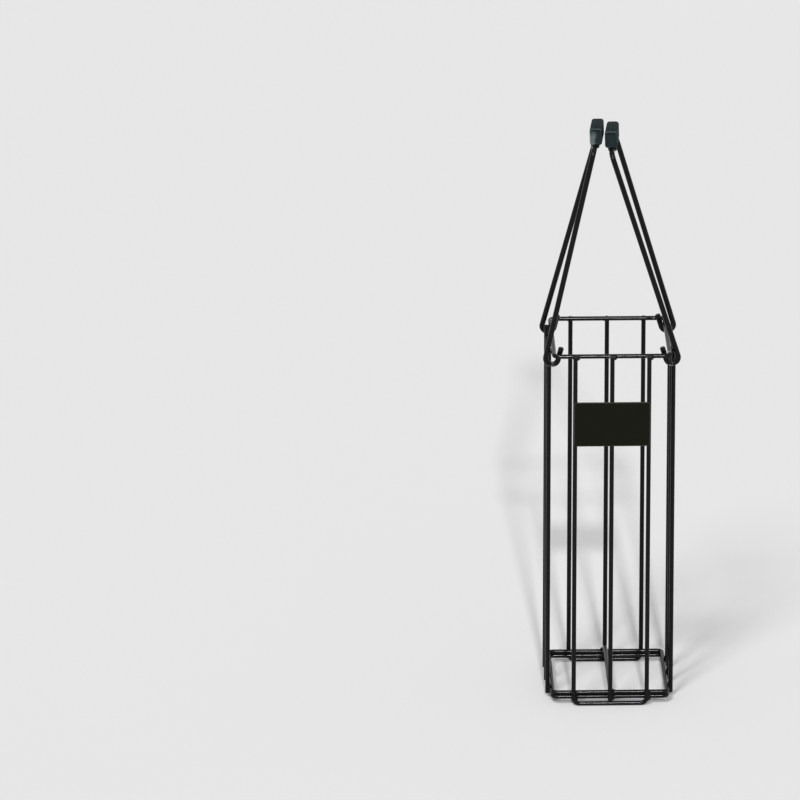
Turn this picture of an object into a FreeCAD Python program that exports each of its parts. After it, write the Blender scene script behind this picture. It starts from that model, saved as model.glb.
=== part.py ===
"""Ball basket: a slim square cage of welded steel wire with two fold-down wire handles.

The cage has three square hoops, one round the mouth and two stacked at the bottom. The
upright wires are welded to the outside of the hoops: a U wire and a straight wire on the
front and on the back, and three straight wires on each side. A rod along the floor leaves
two gaps, each a little narrower than a ball. A handle hooks round each side of the top hoop.

Lengths are in millimetres. Z is up, -Y is the front, and the origin is on the ground, under
the middle of the cage.
"""
import FreeCAD, Part
import math
import os

V = FreeCAD.Vector
Y_AXIS = V(0, 1, 0)
Z_AXIS = V(0, 0, 1)

# Wire stock
wire_d = 5.0
handle_wire_d = 6.0
wire_end_chamfer = 0.7

# Cage: spans and heights are taken between wire centrelines, and upright_rise from the top one
hoop_span = 128.5
top_hoop_z = 413.0
bottom_hoop_z = 8.9
hoop_corner_r = 5.5
u_wire_span = 82.0
u_wire_bend_r = 7.0
side_wire_pitch = 40.5
side_wire_foot_z = 4.4
upright_rise = 0.9

# Plate on the front
plate_w = 85.0
plate_h = 51.6
plate_t = 1.5
plate_z = 335.8
plate_corner_r = 2.5
plate_edge_r = 0.4

# Handle wires: a hook, a leg, the bar at the top, then the same again towards the back
hook_clearance = 0.4
hook_slack = 2.1
hook_drop = 12.2
hook_tip_rise = 9.5
hook_bend_relief = 0.3
hook_y = 55.6
bar_x = 9.65
bar_z = 641.1
bar_corner_y = 33.0
bar_bend_r = 9.0

# The pair of handles stands a little askew: both bars turn alike, and both lean to the left
pair_skew_deg = 6.1
pair_lean_deg = 1.8

# Grips: a moulded block with a keel below it that snaps over the bar
grip_w = 13.6
grip_h = 19.4
grip_l = 37.0
grip_gap = 3.2
grip_seat = 1.6
grip_long_edge_r = 3.2
grip_end_edge_r = 1.1
grip_wall = 2.2
grip_recess_depth = 2.4
grip_recess_corner_r = 1.6
grip_bore_clearance = 0.1
keel_wall = 1.6
keel_drop = 2.2
keel_inset = 1.7

# Places that follow from these sizes
wire_r = wire_d / 2
handle_wire_r = handle_wire_d / 2
hoop_half = hoop_span / 2
upright_plane = hoop_half + wire_d
upright_top_z = top_hoop_z + upright_rise
u_wire_foot_z = wire_r
second_hoop_z = bottom_hoop_z + wire_d
floor_rod_z = second_hoop_z + wire_d
floor_rod_end_y = upright_plane - wire_r
hook_inner_offset = wire_r + handle_wire_r + hook_clearance
hook_outer_offset = hook_inner_offset + hook_slack
hook_bend_r = (hook_inner_offset + hook_outer_offset) / 2 - hook_bend_relief
bar_skew_shift = bar_corner_y * math.tan(math.radians(pair_skew_deg))
grip_bore_r = handle_wire_r + grip_bore_clearance
grip_x = (grip_gap + grip_w) / 2
grip_centre_z = bar_z + grip_seat + grip_h / 2

# Angle of a leg from upright: it runs from the outer arm of its hook to the bar
leg_reach = math.hypot(hoop_half - bar_x, bar_z - top_hoop_z)
leg_angle = math.atan2(hoop_half - bar_x, bar_z - top_hoop_z)
leg_angle += math.asin(hook_outer_offset / leg_reach)

same_point = wire_d * 1e-6

os.makedirs("parts", exist_ok=True)


def save(name, shape):
    """Write one piece, and print whether it is sound, its solids and its volume."""
    shape.exportStep("parts/" + name + ".step")
    print(name, shape.isValid(), len(shape.Solids), round(shape.Volume, 1))


def centreline(points, bend_radii):
    """Return the path through the points: straight runs joined by tangent arcs."""
    path = []
    run_start = points[0]
    for before, corner, after, radius in zip(points, points[1:], points[2:], bend_radii):
        back = (before - corner).normalize()
        onward = (after - corner).normalize()
        half_angle = back.getAngle(onward) / 2
        setback = radius / math.tan(half_angle)
        inward = (back + onward).normalize()
        apex = corner + inward * (radius / math.sin(half_angle) - radius)
        arc_start = corner + back * setback
        arc_end = corner + onward * setback
        if run_start.distanceToPoint(arc_start) > same_point:
            path.append(Part.makeLine(run_start, arc_start))
        path.append(Part.Arc(arc_start, apex, arc_end).toShape())
        run_start = arc_end
    if run_start.distanceToPoint(points[-1]) > same_point:
        path.append(Part.makeLine(run_start, points[-1]))
    return path


def bent_wire(points, bend_radii, diameter):
    """Return round wire bent along the points, as one solid."""
    path = centreline(points, bend_radii)
    section = Part.makeCircle(diameter / 2, points[0], points[1] - points[0])
    return Part.Wire(path).makePipeShell([Part.Wire(section)], True, False)


def with_chamfered_ends(wire):
    """Return a wire with the rims of its two cut ends taken off."""
    cut_ends = [face for face in wire.Faces if isinstance(face.Surface, Part.Plane)]
    rims = [edge for face in cut_ends for edge in face.Edges]
    return wire.makeChamfer(wire_end_chamfer, rims)


def straight_wire(start, end):
    """Return a straight piece of cage wire."""
    run = end - start
    return with_chamfered_ends(Part.makeCylinder(wire_r, run.Length, start, run))


def upright(x, y, foot_z):
    """Return a straight wire that stands on the outside of the hoops."""
    return straight_wire(V(x, y, foot_z), V(x, y, upright_top_z))


def hoop(z):
    """Return a square hoop, closed by a butt weld in the middle of its back side."""
    half = hoop_half
    weld = V(0, half, z)
    corners = [V(-half, half, z), V(-half, -half, z), V(half, -half, z), V(half, half, z)]
    return bent_wire([weld] + corners + [weld], [hoop_corner_r] * len(corners), wire_d)


def u_wire(y):
    """Return a wire with two uprights, joined by the foot that the basket stands on."""
    half = u_wire_span / 2
    points = [V(-half, y, upright_top_z), V(-half, y, u_wire_foot_z)]
    points += [V(half, y, u_wire_foot_z), V(half, y, upright_top_z)]
    return with_chamfered_ends(bent_wire(points, [u_wire_bend_r, u_wire_bend_r], wire_d))


def floor_rod():
    """Return the rod along the middle of the floor, welded on top of the bottom hoops."""
    return straight_wire(V(0, -floor_rod_end_y, floor_rod_z), V(0, floor_rod_end_y, floor_rod_z))


def name_plate():
    """Return the bare sheet-metal plate welded across the front wires."""
    front = -upright_plane - wire_r - plate_t
    corner = V(-plate_w / 2, front, plate_z - plate_h / 2)
    plate = Part.makeBox(plate_w, plate_t, plate_h, corner)
    across = [e for e in plate.Edges if abs(e.tangentAt(e.FirstParameter).dot(Y_AXIS)) > 0.5]
    plate = plate.makeFillet(plate_corner_r, across)
    front_faces = [f for f in plate.Faces if f.CenterOfMass.isEqual(V(0, front, plate_z), same_point)]
    return plate.makeFillet(plate_edge_r, front_faces[0].Edges)


def handle_wire(side):
    """Return the handle wire of one side: side is 1 for the right and -1 for the left."""
    hook_and_leg = []
    for end in (-1, 1):
        hoop_side = V(side * hoop_half, end * hook_y, top_hoop_z)
        up = V(-side * math.sin(leg_angle), 0, math.cos(leg_angle))
        outward = V(side * math.cos(leg_angle), 0, math.sin(leg_angle))
        inner_arm = hoop_side - outward * hook_inner_offset
        outer_arm = hoop_side + outward * hook_outer_offset
        bar_corner = V(side * bar_x + end * bar_skew_shift, end * bar_corner_y, bar_z)
        points = [inner_arm + up * hook_tip_rise, inner_arm - up * hook_drop]
        points += [outer_arm - up * hook_drop, bar_corner]
        hook_and_leg.append(points)
    front_half, back_half = hook_and_leg
    radii = [hook_bend_r, hook_bend_r, bar_bend_r]
    points = front_half + back_half[::-1]
    return with_chamfered_ends(bent_wire(points, radii + radii[::-1], handle_wire_d))


def grip(side):
    """Return the moulded grip of one handle: a block recessed at its ends, and its keel."""
    centre = V(side * grip_x, 0, grip_centre_z)
    half = V(grip_w / 2, grip_l / 2, grip_h / 2)
    block = Part.makeBox(grip_w, grip_l, grip_h, centre - half)
    long_edges = [e for e in block.Edges if abs(e.tangentAt(e.FirstParameter).dot(Y_AXIS)) > 0.5]
    block = block.makeFillet(grip_long_edge_r, long_edges)
    ends = [f for f in block.Faces if abs(abs(f.CenterOfMass.y) - half.y) < same_point]
    block = block.makeFillet(grip_end_edge_r, [e for f in ends for e in f.Edges])
    for end in (-1, 1):
        block = block.cut(grip_end_recess(centre, end))
    block = block.fuse(grip_keel(side))
    bore_start = V(side * bar_x, -half.y, bar_z)
    block = block.cut(Part.makeCylinder(grip_bore_r, grip_l, bore_start, Y_AXIS))
    block.rotate(V(side * bar_x, 0, bar_z), Z_AXIS, -pair_skew_deg)
    return block


def grip_keel(side):
    """Return the bar that runs under a grip's block, before the bore opens it from below."""
    keel_w = 2 * (grip_bore_r + keel_wall)
    keel_l = grip_l - 2 * keel_inset
    corner = V(side * bar_x - keel_w / 2, -keel_l / 2, bar_z - keel_drop)
    keel = Part.makeBox(keel_w, keel_l, keel_drop + grip_seat + grip_wall, corner)
    lips = [e for e in keel.Edges if e.BoundBox.ZMax < bar_z and e.Length > keel_w]
    return keel.makeChamfer(keel_wall / 2, lips)


def grip_end_recess(centre, end):
    """Return the shallow pocket that leaves a rim round one end of a grip."""
    pocket_w = grip_w - 2 * grip_wall
    pocket_h = grip_h - 2 * grip_wall
    outer_y = end * grip_l / 2
    inner_y = outer_y - end * grip_recess_depth
    corner = V(-pocket_w / 2, min(inner_y, outer_y), -pocket_h / 2)
    pocket = Part.makeBox(pocket_w, grip_recess_depth, pocket_h, centre + corner)
    edges = [e for e in pocket.Edges if abs(e.tangentAt(e.FirstParameter).dot(Y_AXIS)) > 0.5]
    return pocket.makeFillet(grip_recess_corner_r, edges)


def leaning(shape, side):
    """Return a piece of a handle turned about its side of the top hoop, as the pair stands."""
    turned = shape.copy()
    turned.rotate(V(side * hoop_half, 0, top_hoop_z), Y_AXIS, -pair_lean_deg)
    return turned


save("top_ring", hoop(top_hoop_z))
save("bottom_ring_upper", hoop(second_hoop_z))
save("bottom_ring_lower", hoop(bottom_hoop_z))
save("floor_rod", floor_rod())

for face_name, y in (("front", -upright_plane), ("back", upright_plane)):
    save(face_name + "_u_wire", u_wire(y))
    save(face_name + "_centre_wire", upright(0, y, u_wire_foot_z + wire_r))

for side_name, side in (("left", -1), ("right", 1)):
    for place_name, place in (("front", -1), ("centre", 0), ("back", 1)):
        wire = upright(side * upright_plane, place * side_wire_pitch, side_wire_foot_z)
        save(side_name + "_side_wire_" + place_name, wire)
    save(side_name + "_handle_wire", leaning(handle_wire(side), side))
    save(side_name + "_grip", leaning(grip(side), side))

save("name_plate", name_plate())
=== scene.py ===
"""Finishes and small work for a ball basket of black coated wire.

The frame holds the bare wires, the plate and the handles. This file coats the wires, runs the
weld beads where they cross, finishes the plate, moulds the two grips and sets up the floor, the
lamps and the camera. Lengths are in metres. Z is up, and -Y is the front.
"""
import math

import bmesh
import bpy
from bpy.props import FloatProperty, FloatVectorProperty, PointerProperty
from mathutils import Matrix, Vector


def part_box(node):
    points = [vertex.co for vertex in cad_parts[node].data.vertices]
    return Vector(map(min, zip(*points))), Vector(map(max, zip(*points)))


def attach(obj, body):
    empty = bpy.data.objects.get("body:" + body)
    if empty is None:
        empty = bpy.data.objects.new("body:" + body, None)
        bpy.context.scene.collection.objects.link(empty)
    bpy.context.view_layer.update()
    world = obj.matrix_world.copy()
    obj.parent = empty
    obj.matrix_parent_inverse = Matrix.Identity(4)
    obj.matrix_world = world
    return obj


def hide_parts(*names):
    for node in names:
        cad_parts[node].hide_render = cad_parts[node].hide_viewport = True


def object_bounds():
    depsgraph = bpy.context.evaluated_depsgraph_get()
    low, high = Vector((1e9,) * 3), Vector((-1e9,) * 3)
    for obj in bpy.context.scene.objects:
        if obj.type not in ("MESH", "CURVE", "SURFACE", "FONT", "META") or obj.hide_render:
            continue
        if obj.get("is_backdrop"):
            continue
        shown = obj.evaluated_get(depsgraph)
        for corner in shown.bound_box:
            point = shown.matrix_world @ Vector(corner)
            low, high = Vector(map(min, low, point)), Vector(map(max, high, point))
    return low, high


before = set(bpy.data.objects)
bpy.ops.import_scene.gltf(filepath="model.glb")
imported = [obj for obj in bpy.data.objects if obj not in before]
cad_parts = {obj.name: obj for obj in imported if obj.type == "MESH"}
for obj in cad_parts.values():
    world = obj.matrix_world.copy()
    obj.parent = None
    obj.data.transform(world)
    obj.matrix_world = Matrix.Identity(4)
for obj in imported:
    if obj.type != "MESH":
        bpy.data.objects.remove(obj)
cad_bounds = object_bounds()

bl_info = {
    "name": "Ball Basket Workshop",
    "version": (1, 0, 0),
    "blender": (4, 5, 0),
    "location": "View3D > Sidebar > Basket",
    "description": "Coats, welds and dresses a wire ball basket",
    "category": "Object",
}

MM = 0.001

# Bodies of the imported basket, and the names of its sides
CAGE = "cage"
HANDLES = {-1: "left_handle", 1: "right_handle"}
SIDE_NAMES = {-1: "left", 1: "right"}

# Sockets of a Mix node that blends colours
MIX_SHARE = 0
MIX_FIRST = 6
MIX_SECOND = 7
MIX_RESULT = 2

# Middle value of a noise pattern
NOISE_MIDDLE = 0.5

# Radius of the handles' wire
handle_wire_r = 3 * MM


def middle(node):
    """Return the middle of a node's box."""
    low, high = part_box(node)
    return (low + high) / 2


# Places that the wires give
hoop_low, hoop_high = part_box("top_ring")
wire_r = (hoop_high.z - hoop_low.z) / 2
hoop_half = hoop_high.x - wire_r
top_hoop_z = middle("top_ring").z
bottom_hoop_z = middle("bottom_ring_lower").z
second_hoop_z = middle("bottom_ring_upper").z
floor_rod_z = middle("floor_rod").z
upright_plane = middle("back_centre_wire").y
side_wire_pitch = middle("right_side_wire_back").y
u_wire_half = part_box("front_u_wire")[1].x - wire_r
touch_plane = hoop_half + wire_r
plate_low, plate_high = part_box("name_plate")
plate_z = (plate_low.z + plate_high.z) / 2
hook_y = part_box("right_handle_wire")[1].y - handle_wire_r


class Signal:
    """An output of a shader node. A sum on it adds the Math nodes that work it out."""

    def __init__(self, nodes, socket):
        self.nodes = nodes
        self.socket = socket

    def __add__(self, other):
        return self.nodes.math("ADD", self, other)

    def __sub__(self, other):
        return self.nodes.math("SUBTRACT", self, other)

    def __rsub__(self, other):
        return self.nodes.math("SUBTRACT", other, self)

    def __mul__(self, other):
        return self.nodes.math("MULTIPLY", self, other)

    def __abs__(self):
        return self.nodes.math("ABSOLUTE", self, 0.0)

    __radd__ = __add__
    __rmul__ = __mul__


class Nodes:
    """The shader nodes of a material or of the world."""

    def __init__(self, tree):
        self.tree = tree

    def node(self, kind, settings, values, output=0):
        """Add a node: settings first, then the values or links of its sockets."""
        node = self.tree.nodes.new(kind)
        for setting, value in settings.items():
            setattr(node, setting, value)
        for socket, value in values.items():
            self.feed(node.inputs[socket], value)
        return Signal(self, node.outputs[output])

    def feed(self, socket, value):
        """Link a signal to a socket, or set a plain value on it."""
        if isinstance(value, Signal):
            self.tree.links.new(value.socket, socket)
        else:
            socket.default_value = value

    def math(self, operation, first, second):
        """Work out one step of a sum."""
        return self.node("ShaderNodeMath", {"operation": operation}, {0: first, 1: second})

    def blend(self, share, first, second):
        """Return one colour that turns into the other as the share goes from 0 to 1."""
        values = {MIX_SHARE: share, MIX_FIRST: first, MIX_SECOND: second}
        return self.node("ShaderNodeMix", {"data_type": "RGBA"}, values, MIX_RESULT)


class Finish(Nodes):
    """A material in the making, with the patterns that the basket's finishes share."""

    def __init__(self, name):
        self.material = bpy.data.materials.new(name)
        self.material.use_nodes = True
        super().__init__(self.material.node_tree)
        self.shader = self.tree.nodes["Principled BSDF"]
        self.place = self.node("ShaderNodeTexCoord", {}, {}, "Object")
        facing = self.node("ShaderNodeTexCoord", {}, {}, "Normal")
        self.x, self.y, self.z = self.split(self.place)
        self.face_y, self.face_z = self.split(facing)[1:]

    def split(self, vector):
        """Return the three parts of a vector."""
        first = self.node("ShaderNodeSeparateXYZ", {}, {"Vector": vector})
        return [Signal(self, output) for output in first.socket.node.outputs]

    def rise(self, value, start, end):
        """Return 0 below the start, 1 above the end and a smooth step between them."""
        settings = {"interpolation_type": "SMOOTHSTEP"}
        values = {"Value": value, "From Min": start, "From Max": end}
        return self.node("ShaderNodeMapRange", settings, values)

    def fall(self, value, start, end):
        """Return 1 below the start, 0 above the end and a smooth step between them."""
        return 1 - self.rise(value, start, end)

    def noise(self, grain, detail=2.0, roughness=0.5, stretch=(1, 1, 1)):
        """Return a cloudy pattern from 0 to 1, whose lumps are about one grain across."""
        mapped = self.node("ShaderNodeMapping", {}, {"Vector": self.place, "Scale": stretch})
        values = {"Vector": mapped, "Scale": 1 / grain, "Detail": detail, "Roughness": roughness}
        return self.node("ShaderNodeTexNoise", {}, values)

    def bump(self, height, depth, under=None):
        """Return a normal that follows a height of 0 to 1, which stands for the given depth."""
        values = {"Height": height, "Distance": depth, "Strength": 1.0}
        if under:
            values["Normal"] = under
        return self.node("ShaderNodeBump", {}, values)

    def lay(self, **sockets):
        """Set the shader's sockets, named as on the node with _ for each space."""
        for name, value in sockets.items():
            self.feed(self.shader.inputs[name.replace("_", " ")], value)
        return self.material


def colour(rgb):
    """Return a colour with full alpha."""
    return (*rgb, 1.0)


class BasketCoat(bpy.types.PropertyGroup):
    """The black coating on every wire."""

    colour: FloatVectorProperty(
        name="Coating", description="Colour of the coating",
        subtype="COLOR", size=3, default=(0.0032, 0.0031, 0.0032), min=0, max=1)
    dust_colour: FloatVectorProperty(
        name="Dust", description="Colour of the dust that lies on the upper sides",
        subtype="COLOR", size=3, default=(0.045, 0.05, 0.04), min=0, max=1)
    steel_colour: FloatVectorProperty(
        name="Bare steel", description="Colour of the steel where the coating is rubbed off",
        subtype="COLOR", size=3, default=(0.48, 0.46, 0.44), min=0, max=1)
    roughness: FloatProperty(
        name="Roughness", description="Roughness of clean coating",
        subtype="FACTOR", default=0.15, min=0, max=1)
    gloss: FloatProperty(
        name="Gloss", description="How strongly the coating mirrors what is round it",
        subtype="FACTOR", default=0.15, min=0, max=1)
    dust: FloatProperty(
        name="Dust cover", description="How much of the coating the dust covers at most",
        subtype="FACTOR", default=0.09, min=0, max=1)
    peel_size: FloatProperty(
        name="Peel", description="Width of one lump of the coating's orange peel",
        unit="LENGTH", default=1.3 * MM, min=0)
    peel_depth: FloatProperty(
        name="Peel depth", description="Height of the orange peel",
        unit="LENGTH", default=0.0025 * MM, min=0)
    weld_dullness: FloatProperty(
        name="Weld dullness", description="How much rougher the coating is on the weld beads",
        subtype="FACTOR", default=0.3, min=0, max=1)


class BasketPlate(bpy.types.PropertyGroup):
    """The bare plate on the front."""

    colour: FloatVectorProperty(
        name="Paint", description="Colour of the plate's satin paint",
        subtype="COLOR", size=3, default=(0.0048, 0.0056, 0.0022), min=0, max=1)
    scuff_colour: FloatVectorProperty(
        name="Scuffs", description="Colour of the scuffs along the plate's edges",
        subtype="COLOR", size=3, default=(0.06, 0.06, 0.055), min=0, max=1)
    roughness: FloatProperty(
        name="Roughness", description="Roughness of the satin paint",
        subtype="FACTOR", default=0.5, min=0, max=1)
    gloss: FloatProperty(
        name="Gloss", description="How strongly the paint mirrors what is round it",
        subtype="FACTOR", default=0.07, min=0, max=1)


class BasketHandle(bpy.types.PropertyGroup):
    """How the pair of handles stands."""

    bar_x: FloatProperty(
        name="Bar across",
        description="Distance of each bar's middle from the middle of the basket",
        unit="LENGTH", default=9.65 * MM)
    bar_z: FloatProperty(
        name="Bar height", description="Height of the bars before the pair leans",
        unit="LENGTH", default=641.1 * MM)
    skew: FloatProperty(
        name="Skew", description="Turn of both bars, seen from above",
        subtype="ANGLE", default=math.radians(6.1))
    lean: FloatProperty(
        name="Lean", description="Lean of the pair to the left",
        subtype="ANGLE", default=math.radians(1.8))


class BasketGrip(bpy.types.PropertyGroup):
    """The moulded grips."""

    width: FloatProperty(
        name="Width", description="Width of a grip's block",
        unit="LENGTH", default=13.6 * MM, min=0)
    length: FloatProperty(
        name="Length", description="Length of a grip's block along the bar",
        unit="LENGTH", default=37 * MM, min=0)
    height: FloatProperty(
        name="Height", description="Height of a grip's block without its keel",
        unit="LENGTH", default=19.4 * MM, min=0)
    gap: FloatProperty(
        name="Gap", description="Gap between the two blocks",
        unit="LENGTH", default=3.2 * MM, min=0)
    seat: FloatProperty(
        name="Seat", description="Height of a block's underside above the middle of the bar",
        unit="LENGTH", default=1.6 * MM, min=0)
    long_edge: FloatProperty(
        name="Long edges", description="Radius of the four long edges",
        unit="LENGTH", default=3.2 * MM, min=0)
    end_edge: FloatProperty(
        name="End edges", description="Radius of the edges round the ends",
        unit="LENGTH", default=1.1 * MM, min=0)
    wall: FloatProperty(
        name="Rim", description="Width of the rim round each end",
        unit="LENGTH", default=2.2 * MM, min=0)
    recess: FloatProperty(
        name="Recess", description="Depth of the panel inside the rim",
        unit="LENGTH", default=2.4 * MM, min=0)
    lip: FloatProperty(
        name="Lip", description="Width of the soft edge between rim and recess",
        unit="LENGTH", default=0.3 * MM, min=0)
    clearance: FloatProperty(
        name="Bore clearance", description="Gap between the bar and the bore",
        unit="LENGTH", default=0.1 * MM, min=0)
    keel_wall: FloatProperty(
        name="Keel wall", description="Thickness of the keel beside the bar",
        unit="LENGTH", default=1.6 * MM, min=0)
    keel_drop: FloatProperty(
        name="Keel drop", description="How far the keel reaches below the middle of the bar",
        unit="LENGTH", default=2.2 * MM, min=0)
    keel_inset: FloatProperty(
        name="Keel inset", description="How far the keel's ends lie behind the ends of the block",
        unit="LENGTH", default=1.7 * MM, min=0)
    seam_width: FloatProperty(
        name="Seam", description="Width of the fine seam where the halves of the mould met",
        unit="LENGTH", default=0.35 * MM, min=0)
    seam_height: FloatProperty(
        name="Seam height", description="How far the seam stands out",
        unit="LENGTH", default=0.1 * MM, min=0)

    colour: FloatVectorProperty(
        name="Plastic", description="Colour of the grips' plastic",
        subtype="COLOR", size=3, default=(0.017, 0.0265, 0.0285), min=0, max=1)
    # Painted shade: a darker colour laid on the grips' upward faces
    painted_top_shade_colour: FloatVectorProperty(
        name="Painted top shade", description="Colour of the plastic on top, where hands have darkened it",
        subtype="COLOR", size=3, default=(0.0078, 0.0125, 0.0135), min=0, max=1)
    # Pale colour of the real scuffs, also used for the painted highlight along the grips' upper end
    # edges
    scuff_colour: FloatVectorProperty(
        name="Scuffs", description="Colour of the plastic where it is rubbed pale",
        subtype="COLOR", size=3, default=(0.155, 0.18, 0.175), min=0, max=1)
    roughness: FloatProperty(
        name="Roughness", description="Roughness of the moulded skin",
        subtype="FACTOR", default=0.62, min=0, max=1)
    gloss: FloatProperty(
        name="Gloss", description="How strongly the plastic mirrors what is round it",
        subtype="FACTOR", default=0.03, min=0, max=1)


class BasketWeld(bpy.types.PropertyGroup):
    """The weld beads."""

    spread: FloatProperty(
        name="Spread", description="How far the bead of a crossing spreads to each side",
        unit="LENGTH", default=4.4 * MM, min=0)
    lead: FloatProperty(
        name="Lead", description="How far the bead of a crossing lies to the right of the upright",
        unit="LENGTH", default=1.2 * MM)
    drop: FloatProperty(
        name="Drop", description="How far the bead of a crossing lies below its touch",
        unit="LENGTH", default=1.1 * MM, min=0)
    tall: FloatProperty(
        name="Tall", description="Half the height of the bead of a crossing",
        unit="LENGTH", default=3.1 * MM, min=0)
    reach: FloatProperty(
        name="Reach", description="How far a small bead spreads along the wires from their touch",
        unit="LENGTH", default=2.3 * MM, min=0)
    height: FloatProperty(
        name="Height", description="Half the thickness of a small bead where the wires touch",
        unit="LENGTH", default=1.3 * MM, min=0)
    lumps: FloatProperty(
        name="Lumps", description="How far the bead's skin rises and falls",
        unit="LENGTH", default=0.45 * MM, min=0)
    grain: FloatProperty(
        name="Grain", description="Edge length of the bead's small faces",
        unit="LENGTH", default=0.32 * MM, min=0)


class BasketStage(bpy.types.PropertyGroup):
    """The floor, the light and the camera."""

    floor_size: FloatProperty(
        name="Floor size", description="Length of the floor's sides",
        unit="LENGTH", default=600, min=0)
    floor_colour: FloatVectorProperty(
        name="Floor", description="Colour of the plain floor",
        subtype="COLOR", size=3, default=(0.8, 0.8, 0.8), min=0, max=1)
    backdrop_colour: FloatVectorProperty(
        name="Backdrop", description="Colour of the backdrop, as seen and as mirrored",
        subtype="COLOR", size=3, default=(0.79, 0.79, 0.79), min=0, max=1)
    room_light: FloatVectorProperty(
        name="Room light", description="Colour of the even light from all round",
        subtype="COLOR", size=3, default=(0.34, 0.34, 0.34), min=0, max=1)
    key_strength: FloatProperty(
        name="Key lamp", description="Strength of the soft lamp at the upper left",
        default=1.5, min=0)
    key_width: FloatProperty(
        name="Key lamp width", description="Angle that the key lamp spans, seen from the basket",
        subtype="ANGLE", default=math.radians(12), min=0)
    key_place: FloatVectorProperty(
        name="Key lamp place", description="Place that the key lamp shines from",
        subtype="TRANSLATION", unit="LENGTH", size=3, default=(-0.9, -1.9, 2.7))
    front_strength: FloatProperty(
        name="Front lamp", description="Strength of the narrow lamp above the camera",
        default=1.6, min=0)
    front_width: FloatProperty(
        name="Front lamp width",
        description="Angle that the front lamp spans, seen from the basket",
        subtype="ANGLE", default=math.radians(2.5), min=0)
    front_place: FloatVectorProperty(
        name="Front lamp place", description="Place that the front lamp shines from",
        subtype="TRANSLATION", unit="LENGTH", size=3, default=(0.07, -2.6, 1.6))
    camera_aim: FloatVectorProperty(
        name="Camera aim", description="Point that the camera aims at",
        subtype="TRANSLATION", unit="LENGTH", size=3, default=(-0.23266, 0.04974, 0.32316))
    camera_azimuth: FloatProperty(
        name="Camera turn", description="Turn of the camera round the basket, from the front",
        subtype="ANGLE", default=math.radians(-1.47))
    camera_elevation: FloatProperty(
        name="Camera height", description="Angle of the camera above the horizon",
        subtype="ANGLE", default=math.radians(19.558))
    camera_distance: FloatProperty(
        name="Camera distance", description="Distance from the camera to the point it aims at",
        unit="LENGTH", default=12.0, min=0)
    camera_lens: FloatProperty(
        name="Lens", description="Focal length of the camera, in millimetres",
        unit="CAMERA", default=481.43, min=1)


# Wire coating: the grain of its patterns, and how strongly each of them shows
COAT_CLOUD_GRAIN = 22 * MM
COAT_CLOUD_ROUGHNESS = 0.04
COAT_SPECK_GRAIN = 3.5 * MM
COAT_SPECK_SHARE = 0.5
COAT_DUST_ROUGHNESS = 0.3
COAT_SCRATCH_GRAIN = 1.2 * MM
COAT_SCRATCH_STRETCH = (1, 1, 0.06)
COAT_SCRATCH_TINT = 0.35
COAT_SCRATCH_ROUGHNESS = 0.05
BARE_STEEL_ROUGHNESS = 0.12


def coat_finish(name, rub=None, dullness=0.0):
    """Return the wire coating. rub takes the finish and returns where the steel shows."""
    coat = bpy.context.scene.basket_coat
    finish = Finish(name)
    clouds = finish.noise(COAT_CLOUD_GRAIN, detail=4.0, roughness=0.6)
    specks = finish.noise(COAT_SPECK_GRAIN, detail=3.0, roughness=0.6)
    upper = finish.rise(finish.face_z, start=0.25, end=0.95)
    settled = finish.rise(clouds + specks * COAT_SPECK_SHARE, start=0.55, end=0.95)
    dust = upper * settled * coat.dust
    scratches = finish.noise(
        COAT_SCRATCH_GRAIN, detail=3.0, roughness=0.7, stretch=COAT_SCRATCH_STRETCH)
    scratched = finish.rise(scratches, start=0.67, end=0.72)
    scratched = scratched * finish.rise(clouds, start=0.5, end=0.62)
    shade = finish.blend(dust, colour(coat.colour), colour(coat.dust_colour))
    shade = finish.blend(scratched * COAT_SCRATCH_TINT, shade, colour(coat.dust_colour))
    roughness = coat.roughness + dullness + COAT_CLOUD_ROUGHNESS * (clouds - NOISE_MIDDLE)
    roughness = roughness + COAT_DUST_ROUGHNESS * dust + COAT_SCRATCH_ROUGHNESS * scratched
    normal = finish.bump(finish.noise(coat.peel_size), coat.peel_depth)
    metal = 0.0
    if rub:
        bare = rub(finish, specks)
        shade = finish.blend(bare, shade, colour(coat.steel_colour))
        roughness = roughness + BARE_STEEL_ROUGHNESS * bare
        metal = bare
    return finish.lay(
        Base_Color=shade, Roughness=roughness, Metallic=metal, Normal=normal,
        Specular_IOR_Level=coat.gloss)


# Wear down to the steel: how far it reaches, and how much of the steel shows at most
HOOP_RUB_REACH = (2.6 * MM, 4.4 * MM)
HOOP_RUB_FRAY = 3 * MM
HOOP_RUB_SHARE = 0.8
HOOK_RUB_HEIGHTS = (top_hoop_z - 12 * MM, top_hoop_z - 8 * MM)
HOOK_KNOCK_HEIGHTS = (top_hoop_z - 14 * MM, top_hoop_z - 11.5 * MM)
HOOK_WEAR_SHARE = 0.85
WELD_CHIP_SHARE = 0.7


def rubbed_by_hooks(finish, specks):
    """Return where the hooks have rubbed the side wires of the top hoop down to the steel."""
    off_hook = abs(abs(finish.y) - hook_y)
    near = finish.fall(off_hook + specks * HOOP_RUB_FRAY, *HOOP_RUB_REACH)
    on_side = finish.rise(abs(finish.x), hoop_half - 2 * wire_r, hoop_half - wire_r)
    return near * on_side * finish.rise(specks, start=0.46, end=0.62) * HOOP_RUB_SHARE


def worn_hooks(finish, specks):
    """Return where the hoop has rubbed the hooks inside, and knocks have chipped them below."""
    inside = finish.fall(finish.z, *HOOK_RUB_HEIGHTS)
    rubbed = inside * finish.rise(finish.face_z, start=0.5, end=0.9)
    lowest = finish.fall(finish.z, *HOOK_KNOCK_HEIGHTS)
    knocked = lowest * finish.rise(abs(finish.face_y), start=0.4, end=0.8)
    worn = finish.math("MAXIMUM", rubbed, knocked)
    return worn * finish.rise(specks, start=0.47, end=0.6) * HOOK_WEAR_SHARE


def chipped_welds(finish, specks):
    """Return the small chips that show the steel on the weld beads of the top hoop."""
    return finish.rise(specks, start=0.56, end=0.64) * WELD_CHIP_SHARE


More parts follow.
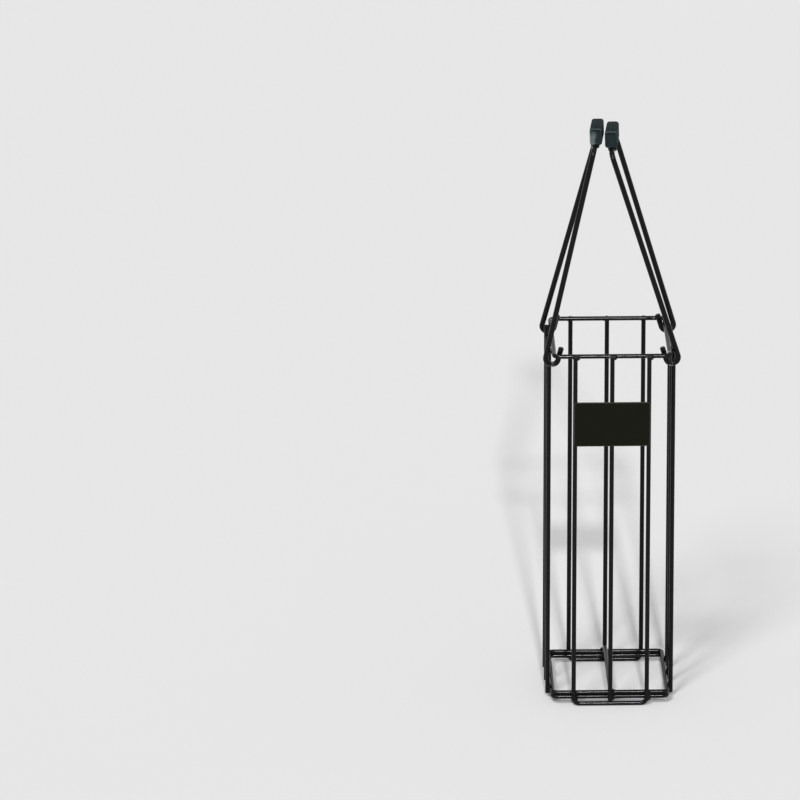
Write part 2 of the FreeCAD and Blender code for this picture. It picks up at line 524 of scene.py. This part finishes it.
def dress(nodes, material):
    """Give the nodes their finish."""
    for node in nodes:
        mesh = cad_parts[node].data
        mesh.materials.clear()
        mesh.materials.append(material)


class CoatCage(bpy.types.Operator):
    """Coat the wires of the cage"""

    bl_idname = "basket.coat_cage"
    bl_label = "Coat the cage"

    def execute(self, context):
        plain = coat_finish("wire_coat")
        worn = coat_finish("top_hoop_coat", rubbed_by_hooks)
        wires = ["bottom_ring_upper", "bottom_ring_lower", "floor_rod"]
        for face in ("front", "back"):
            wires += [face + "_u_wire", face + "_centre_wire"]
        for side in SIDE_NAMES.values():
            wires += [side + "_side_wire_" + place for place in ("front", "centre", "back")]
        dress(wires, plain)
        dress(["top_ring"], worn)
        return {"FINISHED"}


class CoatHandles(bpy.types.Operator):
    """Coat the two handle wires"""

    bl_idname = "basket.coat_handles"
    bl_label = "Coat the handle wires"

    def execute(self, context):
        dress(["left_handle_wire", "right_handle_wire"], coat_finish("handle_coat", worn_hooks))
        return {"FINISHED"}


# Plate: the grain and depth of its patterns, and how strongly each of them shows
PLATE_CLOUD_GRAIN = 26 * MM
PLATE_CLOUD_ROUGHNESS = 0.16
PLATE_SPECK_GRAIN = 1.6 * MM
PLATE_EDGE_REACH = (-0.4 * MM, 0.5 * MM)
PLATE_EDGE_FRAY = 1.4 * MM
PLATE_EDGE_TINT = 0.6
PLATE_STROKE_GRAIN = 1.0 * MM
PLATE_STROKE_STRETCH = (0.05, 1, 1)
PLATE_STROKE_TINT = 0.25
PLATE_STROKE_ROUGHNESS = 0.1
PLATE_WAVE_GRAIN = 34 * MM
PLATE_WAVE_DEPTH = 0.5 * MM
PLATE_SKIN_GRAIN = 0.9 * MM
PLATE_SKIN_DEPTH = 0.025 * MM


def plate_finish():
    """Return the plate's satin paint, scuffed a little along its edges."""
    plate = bpy.context.scene.basket_plate
    finish = Finish("plate_paint")
    clouds = finish.noise(PLATE_CLOUD_GRAIN, detail=4.0, roughness=0.55)
    specks = finish.noise(PLATE_SPECK_GRAIN, detail=3.0, roughness=0.65)
    from_side = plate_high.x - abs(finish.x)
    from_end = plate_high.z - plate_z - abs(finish.z - plate_z)
    from_edge = finish.math("MINIMUM", from_side, from_end)
    edge = finish.fall(from_edge - specks * PLATE_EDGE_FRAY, *PLATE_EDGE_REACH)
    strokes = finish.noise(
        PLATE_STROKE_GRAIN, detail=3.0, roughness=0.7, stretch=PLATE_STROKE_STRETCH)
    stroked = finish.rise(strokes, start=0.68, end=0.73)
    stroked = stroked * finish.rise(clouds, start=0.48, end=0.62)
    scuffs = colour(plate.scuff_colour)
    shade = finish.blend(edge * PLATE_EDGE_TINT, colour(plate.colour), scuffs)
    shade = finish.blend(stroked * PLATE_STROKE_TINT, shade, scuffs)
    roughness = plate.roughness + PLATE_CLOUD_ROUGHNESS * (clouds - NOISE_MIDDLE)
    roughness = roughness + PLATE_STROKE_ROUGHNESS * stroked
    waves = finish.noise(PLATE_WAVE_GRAIN, detail=1.0, roughness=0.4)
    normal = finish.bump(waves, PLATE_WAVE_DEPTH)
    normal = finish.bump(finish.noise(PLATE_SKIN_GRAIN), PLATE_SKIN_DEPTH, normal)
    return finish.lay(
        Base_Color=shade, Roughness=roughness, Normal=normal, Specular_IOR_Level=plate.gloss)


class PaintPlate(bpy.types.Operator):
    """Paint the bare plate"""

    bl_idname = "basket.paint_plate"
    bl_label = "Paint the plate"

    def execute(self, context):
        dress(["name_plate"], plate_finish())
        return {"FINISHED"}


# Grips: the grain of their patterns, and how strongly each of them shows
GRIP_CLOUD_GRAIN = 7 * MM
GRIP_CLOUD_SHARE = 0.4
GRIP_CLOUD_ROUGHNESS = 0.12
GRIP_SPECK_GRAIN = 1.1 * MM
GRIP_SPECK_SHARE = 0.6
GRIP_SCUFF_ROUGHNESS = 0.14
# The edge share paints a highlight on the upper edges round the grips' ends; the polish smooths the
# top faces that carry painted shade
GRIP_EDGE_HIGHLIGHT = 0.4
GRIP_TOP_POLISH = 0.12
GRIP_SKIN_GRAIN = 0.45 * MM
GRIP_SKIN_DEPTH = 0.04 * MM

# Scuffed corner of the left grip: where the scuffs begin to thin out and where they end
SCUFFS_ACROSS = (-22 * MM, -13 * MM)
SCUFFS_BACKWARDS = (-17 * MM, -4 * MM)
SCUFFS_UPWARDS = (654 * MM, 666 * MM)
SCUFFS_STRENGTH = 0.38


def scuffed_corner(finish):
    """Return how strongly the left grip is rubbed: most at the front of its outer side."""
    outer = finish.fall(finish.x, *SCUFFS_ACROSS)
    front = finish.fall(finish.y, *SCUFFS_BACKWARDS)
    low = finish.fall(finish.z, *SCUFFS_UPWARDS)
    return SCUFFS_STRENGTH * (outer * front * low)


def grip_finish(name, wear=None):
    """Return the grips' plastic. wear takes the finish and returns where it is rubbed pale."""
    grip = bpy.context.scene.basket_grip
    finish = Finish(name)
    clouds = finish.noise(GRIP_CLOUD_GRAIN, detail=4.0, roughness=0.6)
    specks = finish.noise(GRIP_SPECK_GRAIN, detail=4.0, roughness=0.7)
    worn = wear(finish) if wear else 0.0
    mottled = clouds * GRIP_CLOUD_SHARE + specks * GRIP_SPECK_SHARE + worn
    scuffs_and_edge_highlight = finish.rise(mottled, start=0.6, end=0.95)
    # Painted highlight: the upper edges round each end are blended toward the pale scuff colour and
    # made rougher, in one mask with the real scuffs
    upper_edge_highlight = finish.rise(finish.face_z, start=0.15, end=0.45)
    upper_edge_highlight = upper_edge_highlight * finish.fall(finish.face_z, start=0.8, end=0.95)
    end_edge = upper_edge_highlight * finish.rise(abs(finish.face_y), start=0.2, end=0.5)
    scuffs_and_edge_highlight = finish.math("MAXIMUM", scuffs_and_edge_highlight, end_edge * GRIP_EDGE_HIGHLIGHT)
    # Painted shade: the upward faces are darkened in patches, and made a little smoother
    painted_top_shade = finish.rise(finish.face_z, start=0.4, end=0.9)
    painted_top_shade = painted_top_shade * finish.rise(clouds, start=0.3, end=0.6)
    shade = finish.blend(painted_top_shade, colour(grip.colour), colour(grip.painted_top_shade_colour))
    shade = finish.blend(scuffs_and_edge_highlight, shade, colour(grip.scuff_colour))
    roughness = grip.roughness + GRIP_CLOUD_ROUGHNESS * (clouds - NOISE_MIDDLE)
    roughness = roughness + GRIP_SCUFF_ROUGHNESS * scuffs_and_edge_highlight - GRIP_TOP_POLISH * painted_top_shade
    skin = finish.noise(GRIP_SKIN_GRAIN, roughness=0.6)
    normal = finish.bump(skin, GRIP_SKIN_DEPTH)
    return finish.lay(
        Base_Color=shade, Roughness=roughness, Normal=normal, Specular_IOR_Level=grip.gloss)


def deselect_all():
    """Deselect everything, the frame's own nodes too."""
    bpy.ops.object.select_all(action="DESELECT")


def apply_modifiers(piece):
    """Apply the piece's modifiers in order."""
    bpy.context.view_layer.objects.active = piece
    for name in [modifier.name for modifier in piece.modifiers]:
        bpy.ops.object.modifier_apply(modifier=name)


def select_parts(kind, wanted):
    """In edit mode, select the edges or faces, as the kind says, that are wanted."""
    bpy.ops.mesh.select_mode(type=kind)
    bpy.ops.mesh.select_all(action="DESELECT")
    mesh = bmesh.from_edit_mesh(bpy.context.object.data)
    parts = mesh.edges if kind == "EDGE" else mesh.faces
    for part in parts:
        part.select_set(wanted(part))
    bmesh.update_edit_mesh(bpy.context.object.data)


def box(size, place):
    """Add a box and leave it in edit mode, to be shaped."""
    deselect_all()
    bpy.ops.mesh.primitive_cube_add(size=1, location=place)
    bpy.ops.object.mode_set(mode="EDIT")
    bpy.ops.mesh.select_all(action="SELECT")
    bpy.ops.transform.resize(value=size)
    return bpy.context.object


# Least part along Y of the direction of a long edge, and of the normal of an end face
MOSTLY_ALONG = 0.9
SQUARE_ON = 0.9999

# Grips: segments of the rounded edges, sides of the bore, and the widest angle shaded smooth
LONG_EDGE_SEGMENTS = 7
END_EDGE_SEGMENTS = 4
BORE_SIDES = 64
SMOOTH_ANGLE = math.radians(35)


def along_y(edge):
    """Return whether an edge runs along Y."""
    run = (edge.verts[1].co - edge.verts[0].co).normalized()
    return abs(run.y) > MOSTLY_ALONG


def is_end(face):
    """Return whether a face looks straight along Y."""
    return abs(face.normal.y) > SQUARE_ON


def on_end(edge):
    """Return whether an edge goes round an end face."""
    return any(is_end(face) for face in edge.link_faces) and not along_y(edge)


def grip_block(grip, place):
    """Model a grip's block: rounded edges, and a panel set back inside a rim at each end."""
    block = box((grip.width, grip.length, grip.height), place)
    select_parts("EDGE", along_y)
    bpy.ops.mesh.bevel(offset=grip.long_edge, segments=LONG_EDGE_SEGMENTS, affect="EDGES")
    select_parts("EDGE", on_end)
    bpy.ops.mesh.bevel(offset=grip.end_edge, segments=END_EDGE_SEGMENTS, affect="EDGES")
    select_parts("FACE", is_end)
    lip = grip.lip
    rim = (grip.wall - grip.end_edge - lip, 0)
    lip_start = (lip / 2, -lip / 4)
    lip_end = (lip / 2, -lip)
    recess_wall = (lip / 4, -grip.recess + 2 * lip)
    recess_foot = (lip * 2, -lip / 2)
    for thickness, depth in (rim, lip_start, lip_end, recess_wall, recess_foot):
        bpy.ops.mesh.inset(thickness=thickness, depth=depth)
    bpy.ops.object.mode_set(mode="OBJECT")
    return block


def raise_seam(grip, block):
    """Raise the fine seam that runs round the block along its middle."""
    bpy.context.view_layer.objects.active = block
    bpy.ops.object.mode_set(mode="EDIT")
    half = grip.seam_width / 2
    middle_x = block.location.x
    for side in (-1, 1):
        bpy.ops.mesh.select_all(action="SELECT")
        bpy.ops.mesh.bisect(
            plane_co=(middle_x + side * half, 0, 0), plane_no=(1, 0, 0), use_fill=False)
    reach = grip.length / 2 - grip.end_edge

    def in_seam(face):
        centre = face.calc_center_median()
        return abs(centre.x) < half and abs(centre.y) < reach

    select_parts("FACE", in_seam)
    bpy.ops.mesh.inset(thickness=grip.seam_width / 4, depth=grip.seam_height)
    bpy.ops.object.mode_set(mode="OBJECT")


def grip_keel(grip, place):
    """Model the keel under the block, its lower edges cut back."""
    height = grip.keel_drop + grip.seat + grip.wall
    width = 2 * (handle_wire_r + grip.clearance + grip.keel_wall)
    lift = Vector((0, 0, height / 2 - grip.keel_drop))
    keel = box((width, grip.length - 2 * grip.keel_inset, height), place + lift)

    def lower(edge):
        return along_y(edge) and edge.verts[0].co.z < 0

    select_parts("EDGE", lower)
    bpy.ops.mesh.bevel(offset=grip.keel_wall / 2, segments=1, affect="EDGES")
    bpy.ops.object.mode_set(mode="OBJECT")
    return keel


def cut_or_join(piece, tool, operation):
    """Join the tool to the piece or cut it away, and delete the tool."""
    change = piece.modifiers.new("change", "BOOLEAN")
    change.operation = operation
    change.solver = "EXACT"
    change.object = tool
    apply_modifiers(piece)
    bpy.data.objects.remove(tool)


def mould_grip(side, material):
    """Model one grip, put it on its bar and let it stand for the plain one."""
    grip = bpy.context.scene.basket_grip
    handle = bpy.context.scene.basket_handle
    bar = Vector((side * handle.bar_x, 0, handle.bar_z))
    block_x = side * (grip.gap + grip.width) / 2
    block_z = handle.bar_z + grip.seat + grip.height / 2
    piece = grip_block(grip, Vector((block_x, 0, block_z)))
    raise_seam(grip, piece)
    cut_or_join(piece, grip_keel(grip, bar), "UNION")
    deselect_all()
    bpy.ops.mesh.primitive_cylinder_add(
        vertices=BORE_SIDES, radius=handle_wire_r + grip.clearance, depth=2 * grip.length,
        location=bar, rotation=(math.pi / 2, 0, 0))
    cut_or_join(piece, bpy.context.object, "DIFFERENCE")
    deselect_all()
    piece.select_set(True)
    bpy.context.view_layer.objects.active = piece
    bpy.ops.object.transform_apply(location=True, rotation=True, scale=True)
    hinge = Vector((side * hoop_half, 0, top_hoop_z))
    skewed = about(bar, Matrix.Rotation(-handle.skew, 4, "Z"))
    leaning = about(hinge, Matrix.Rotation(-handle.lean, 4, "Y"))
    piece.data.transform(leaning @ skewed)
    bpy.ops.object.shade_smooth_by_angle(angle=SMOOTH_ANGLE)
    piece.name = SIDE_NAMES[side] + "_moulded_grip"
    piece.data.name = piece.name
    piece.data.materials.clear()
    piece.data.materials.append(material)
    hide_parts(SIDE_NAMES[side] + "_grip")
    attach(piece, HANDLES[side])


def about(place, turn):
    """Return a turn about a place."""
    return Matrix.Translation(place) @ turn @ Matrix.Translation(-place)


class MouldGrips(bpy.types.Operator):
    """Mould the two grips"""

    bl_idname = "basket.mould_grips"
    bl_label = "Mould the grips"

    def execute(self, context):
        mould_grip(-1, grip_finish("left_grip_plastic", scuffed_corner))
        mould_grip(1, grip_finish("right_grip_plastic"))
        return {"FINISHED"}


def joined(pieces, name):
    """Join the pieces into one, with its place in its mesh."""
    deselect_all()
    for piece in pieces:
        piece.select_set(True)
    bpy.context.view_layer.objects.active = pieces[0]
    bpy.ops.object.join()
    whole = bpy.context.object
    bpy.ops.object.transform_apply(location=True, rotation=True, scale=True)
    whole.name = name
    whole.data.name = name
    return whole


# Weld beads: how fine a bead's parts are, and how its skin is made uneven and then smoothed
STUB_SIDES = 40
STUB_THINNING = 0.975
LUMP_SUBDIVISIONS = 5
LUMP_CLOUD_SIZE = 0.55
SMOOTHING = 0.5
SMOOTHING_STEPS = 7

# Weld beads: shares of the wire's radius or of the settings, named for the kind of bead
CROSSING_THICKNESS = 1.3
BUTT_LENGTH = 1.15
BUTT_WIDTH = 0.96
BUTT_THICKNESS = 0.8
TACK_WIRE = 1.6
TACK_THICKNESS = 0.7
TACK_ASIDE = 0.72
TACK_LIFT = 0.2

# Turns of the lump, in radians, so that the beads of a kind differ
CROSSING_TURNS = (0.0, 1.9, 4.1)
BUTT_TURNS = (0.7, 2.9)
TACK_TURNS = (0.4, 3.3)

# Height of the plate divided by the distance from its upper or lower edge to the tacks
TACK_DIVISION = 7


def stub(axis, place, length):
    """Add a short length of wire along X or Z, a little thinner than the real wire."""
    turns = {"X": (0, math.pi / 2, 0), "Z": (0, 0, 0)}
    deselect_all()
    bpy.ops.mesh.primitive_cylinder_add(
        vertices=STUB_SIDES, radius=wire_r * STUB_THINNING, depth=length,
        location=place, rotation=turns[axis])
    return bpy.context.object


def nugget(radii, turn):
    """Add the lump of metal at a touch, its skin uneven in a way that the turn picks."""
    weld = bpy.context.scene.basket_weld
    deselect_all()
    bpy.ops.mesh.primitive_ico_sphere_add(
        subdivisions=LUMP_SUBDIVISIONS, radius=1.0, rotation=(turn, 2 * turn, 0))
    lump = bpy.context.object
    bpy.ops.object.transform_apply(location=False, rotation=True, scale=False)
    clouds = bpy.data.textures.new("weld_clouds", "CLOUDS")
    clouds.noise_scale = LUMP_CLOUD_SIZE
    uneven = lump.modifiers.new("uneven", "DISPLACE")
    uneven.texture = clouds
    uneven.strength = weld.lumps / weld.reach
    apply_modifiers(lump)
    bpy.data.textures.remove(clouds)
    lump.rotation_euler = (-turn, 0, turn)
    bpy.ops.object.transform_apply(location=False, rotation=True, scale=False)
    lump.scale = radii
    return lump


def bead(stubs, radii, turn, offset=(0, 0, 0)):
    """Return the bead that fills the corners between wire stubs that meet at the origin."""
    weld = bpy.context.scene.basket_weld
    lump = nugget(radii, turn)
    lump.location = offset
    parts = [lump] + [stub(*each) for each in stubs]
    piece = joined(parts, "bead")
    fused = piece.modifiers.new("fused", "REMESH")
    fused.mode = "VOXEL"
    fused.voxel_size = weld.grain
    soft = piece.modifiers.new("soft", "SMOOTH")
    soft.factor = SMOOTHING
    soft.iterations = SMOOTHING_STEPS
    apply_modifiers(piece)
    return piece


def crossing_beads(above=0.0):
    """Return beads for a wire along X and, on its -Y side, an upright that ends above the touch."""
    weld = bpy.context.scene.basket_weld
    below = weld.tall
    upright = ("Z", (0, -wire_r, (above - below) / 2), above + below)
    across = ("X", (weld.lead, wire_r, 0), 2 * weld.spread)
    radii = (weld.spread, weld.height * CROSSING_THICKNESS, weld.tall)
    offset = (weld.lead, 0, -weld.drop)
    return [bead([upright, across], radii, turn, offset) for turn in CROSSING_TURNS]


def butt_beads():
    """Return beads for a wire along Z whose end stands on a wire along X below it."""
    weld = bpy.context.scene.basket_weld
    length = 2 * weld.reach
    stubs = [("X", (0, 0, -wire_r), length), ("Z", (0, 0, weld.reach / 2), weld.reach)]
    radii = (weld.reach * BUTT_LENGTH, wire_r * BUTT_WIDTH, weld.height * BUTT_THICKNESS)
    return [bead(stubs, radii, turn) for turn in BUTT_TURNS]


def tack_beads(side):
    """Return beads for one side of a wire along Z that lies on the back of the plate."""
    weld = bpy.context.scene.basket_weld
    stubs = [("Z", (0, wire_r, 0), TACK_WIRE * weld.reach)]
    radii = (weld.height, weld.height * TACK_THICKNESS, weld.reach)
    offset = (side * wire_r * TACK_ASIDE, wire_r * TACK_LIFT, 0)
    return [bead(stubs, radii, turn, offset) for turn in TACK_TURNS]


def weld_group(name, beads, places, material):
    """Copy the beads to their places, in turn, as one piece that rides on the cage."""
    copies = []
    for number, place in enumerate(places):
        source = beads[number % len(beads)]
        copy = source.copy()
        copy.data = source.data.copy()
        copy.data.transform(place)
        bpy.context.scene.collection.objects.link(copy)
        copies.append(copy)
    group = joined(copies, name)
    bpy.ops.object.shade_smooth()
    group.data.materials.clear()
    group.data.materials.append(material)
    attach(group, CAGE)
    for source in beads:
        bpy.data.objects.remove(source)


def turned(place, quarter_turns):
    """Return the placing of a bead that is turned about Z and moved to its place."""
    return Matrix.Translation(place) @ Matrix.Rotation(quarter_turns * math.pi / 2, 4, "Z")


def hoop_touches(z):
    """Return the placings of the beads where the uprights touch a hoop at this height."""
    places = []
    for x in (-u_wire_half, 0, u_wire_half):
        places.append(turned(Vector((x, -touch_plane, z)), 0))
        places.append(turned(Vector((x, touch_plane, z)), 2))
    for y in (-side_wire_pitch, 0, side_wire_pitch):
        places.append(turned(Vector((touch_plane, y, z)), 1))
        places.append(turned(Vector((-touch_plane, y, z)), 3))
    return places


class WeldTopHoop(bpy.types.Operator):
    """Weld the uprights to the top hoop"""

    bl_idname = "basket.weld_top_hoop"
    bl_label = "Weld the top hoop"

    def execute(self, context):
        dullness = context.scene.basket_coat.weld_dullness
        material = coat_finish("chipped_weld_coat", chipped_welds, dullness)
        weld_group("top_hoop_welds", crossing_beads(), hoop_touches(top_hoop_z), material)
        return {"FINISHED"}


class WeldBottomHoops(bpy.types.Operator):
    """Weld the uprights to the two bottom hoops"""

    bl_idname = "basket.weld_bottom_hoops"
    bl_label = "Weld the bottom hoops"

    def execute(self, context):
        material = coat_finish("weld_coat", dullness=context.scene.basket_coat.weld_dullness)
        places = hoop_touches(bottom_hoop_z) + hoop_touches(second_hoop_z)
        weld_group("bottom_hoop_welds", crossing_beads(wire_r), places, material)
        return {"FINISHED"}


class WeldFloor(bpy.types.Operator):
    """Weld the floor rod and the feet of the centre wires"""

    bl_idname = "basket.weld_floor"
    bl_label = "Weld the floor rod and the feet"

    def execute(self, context):
        material = bpy.data.materials["weld_coat"]
        lay_back = Matrix.Rotation(-math.pi / 2, 4, "X")
        lay_down = Matrix.Rotation(-math.pi / 2, 4, "Y") @ lay_back
        on_hoop = floor_rod_z - wire_r
        crossings = []
        butts = []
        # The beads at the back are turned half round
        for end, quarter_turns in ((-1, 0), (1, 2)):
            crossing = turned(Vector((0, end * hoop_half, on_hoop)), quarter_turns)
            rod_end = turned(Vector((0, end * touch_plane, floor_rod_z)), quarter_turns)
            foot = turned(Vector((0, end * upright_plane, 2 * wire_r)), quarter_turns)
            crossings.append(crossing @ lay_back)
            butts += [rod_end @ lay_down, foot]
        weld_group("floor_rod_crossing_welds", crossing_beads(wire_r), crossings, material)
        weld_group("floor_rod_end_and_foot_welds", butt_beads(), butts, material)
        return {"FINISHED"}


class TackPlate(bpy.types.Operator):
    """Tack the plate to the three wires behind it"""

    bl_idname = "basket.tack_plate"
    bl_label = "Tack the plate"

    def execute(self, context):
        material = bpy.data.materials["weld_coat"]
        back = plate_high.y
        inset = (plate_high.z - plate_low.z) / TACK_DIVISION
        heights = (plate_low.z + inset, plate_high.z - inset)
        for side, name in SIDE_NAMES.items():
            places = [Vector((x, back, z)) for x in (-side * u_wire_half, 0) for z in heights]
            placings = [turned(place, 0) for place in places]
            weld_group(name + "_plate_tacks", tack_beads(side), placings, material)
        return {"FINISHED"}


# Camera: the width of its sensor in millimetres, and how far it sees in metres
SENSOR_WIDTH = 36
FARTHEST_SEEN = 1000

# Floor: the grain of its faint clouds, how much paler they are, and its finish
FLOOR_CLOUD_GRAIN = 0.9
FLOOR_CLOUD_TONE = 1.02
FLOOR_ROUGHNESS = 0.9
FLOOR_GLOSS = 0.1


def set_camera(stage):
    """Add the camera that looks down at the basket from the front."""
    turn, rise = stage.camera_azimuth, stage.camera_elevation
    back = Vector((
        math.sin(turn) * math.cos(rise), -math.cos(turn) * math.cos(rise), math.sin(rise)))
    deselect_all()
    bpy.ops.object.camera_add(location=stage.camera_aim + back * stage.camera_distance)
    camera = bpy.context.object
    camera.rotation_euler = (-back).to_track_quat("-Z", "Y").to_euler()
    camera.data.sensor_width = SENSOR_WIDTH
    camera.data.lens = stage.camera_lens
    camera.data.clip_end = FARTHEST_SEEN
    bpy.context.scene.camera = camera


def set_room(stage):
    """Light the basket evenly from all round, and show the backdrop in its own colour."""
    world = bpy.data.worlds.new("pale_room")
    world.use_nodes = True
    room = Nodes(world.node_tree)
    seen = room.node("ShaderNodeLightPath", {}, {}, "Is Camera Ray")
    mirrored = room.node("ShaderNodeLightPath", {}, {}, "Is Glossy Ray")
    shown = room.math("MAXIMUM", seen, mirrored)
    tone = room.blend(shown, colour(stage.room_light), colour(stage.backdrop_colour))
    room.feed(world.node_tree.nodes["Background"].inputs["Color"], tone)
    bpy.context.scene.world = world


def add_lamp(name, place, strength, width):
    """Add a lamp that shines from a place towards the basket."""
    deselect_all()
    bpy.ops.object.light_add(type="SUN", location=place)
    lamp = bpy.context.object
    lamp.name = name
    lamp.data.angle = width
    lamp.data.energy = strength
    lamp.rotation_euler = (-place).to_track_quat("-Z", "Y").to_euler()


def set_floor(stage):
    """Add the plain floor."""
    deselect_all()
    bpy.ops.mesh.primitive_plane_add(size=stage.floor_size)
    floor = bpy.context.object
    floor.name = "floor"
    finish = Finish("floor_paint")
    clouds = finish.noise(FLOOR_CLOUD_GRAIN, detail=3.0)
    pale = colour(stage.floor_colour)
    paler = colour([part * FLOOR_CLOUD_TONE for part in stage.floor_colour])
    floor.data.materials.append(finish.lay(
        Base_Color=finish.blend(clouds, pale, paler), Roughness=FLOOR_ROUGHNESS,
        Specular_IOR_Level=FLOOR_GLOSS))
    floor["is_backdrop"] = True


class SetStage(bpy.types.Operator):
    """Set up the floor, the light and the camera"""

    bl_idname = "basket.set_stage"
    bl_label = "Set the stage"

    def execute(self, context):
        stage = context.scene.basket_stage
        set_floor(stage)
        set_room(stage)
        add_lamp("key_lamp", stage.key_place, stage.key_strength, stage.key_width)
        add_lamp("front_lamp", stage.front_place, stage.front_strength, stage.front_width)
        set_camera(stage)
        context.scene.view_settings.view_transform = "Standard"
        return {"FINISHED"}


class BasketPanel(bpy.types.Panel):
    """The steps of the work, in order"""

    bl_idname = "BASKET_PT_steps"
    bl_label = "Ball basket"
    bl_space_type = "VIEW_3D"
    bl_region_type = "UI"
    bl_category = "Basket"

    def draw(self, context):
        for step in STEPS:
            self.layout.operator(step.bl_idname)
        for group in GROUPS:
            section = self.layout.box()
            settings = getattr(context.scene, group)
            for prop in settings.bl_rna.properties.keys():
                if prop not in ("rna_type", "name"):
                    section.prop(settings, prop)


GROUPS = {
    "basket_coat": BasketCoat,
    "basket_plate": BasketPlate,
    "basket_handle": BasketHandle,
    "basket_grip": BasketGrip,
    "basket_weld": BasketWeld,
    "basket_stage": BasketStage,
}
STEPS = [
    CoatCage, CoatHandles, PaintPlate, MouldGrips, WeldTopHoop, WeldBottomHoops, WeldFloor,
    TackPlate, SetStage,
]


def register():
    """Register the settings, the steps and the panel."""
    for name, group in GROUPS.items():
        bpy.utils.register_class(group)
        setattr(bpy.types.Scene, name, PointerProperty(type=group))
    for step in STEPS:
        bpy.utils.register_class(step)
    bpy.utils.register_class(BasketPanel)


def unregister():
    """Take away what register added."""
    bpy.utils.unregister_class(BasketPanel)
    for step in STEPS:
        bpy.utils.unregister_class(step)
    for name, group in GROUPS.items():
        delattr(bpy.types.Scene, name)
        bpy.utils.unregister_class(group)


def main():
    """Do every step in order."""
    register()
    bpy.ops.basket.coat_cage()
    bpy.ops.basket.coat_handles()
    bpy.ops.basket.paint_plate()
    bpy.ops.basket.mould_grips()
    bpy.ops.basket.weld_top_hoop()
    bpy.ops.basket.weld_bottom_hoops()
    bpy.ops.basket.weld_floor()
    bpy.ops.basket.tack_plate()
    bpy.ops.basket.set_stage()
    sizes = {"cad": cad_bounds, "visual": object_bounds()}
    sizes = {name: [list(corner) for corner in corners] for name, corners in sizes.items()}


if __name__ == "__main__":
    main()
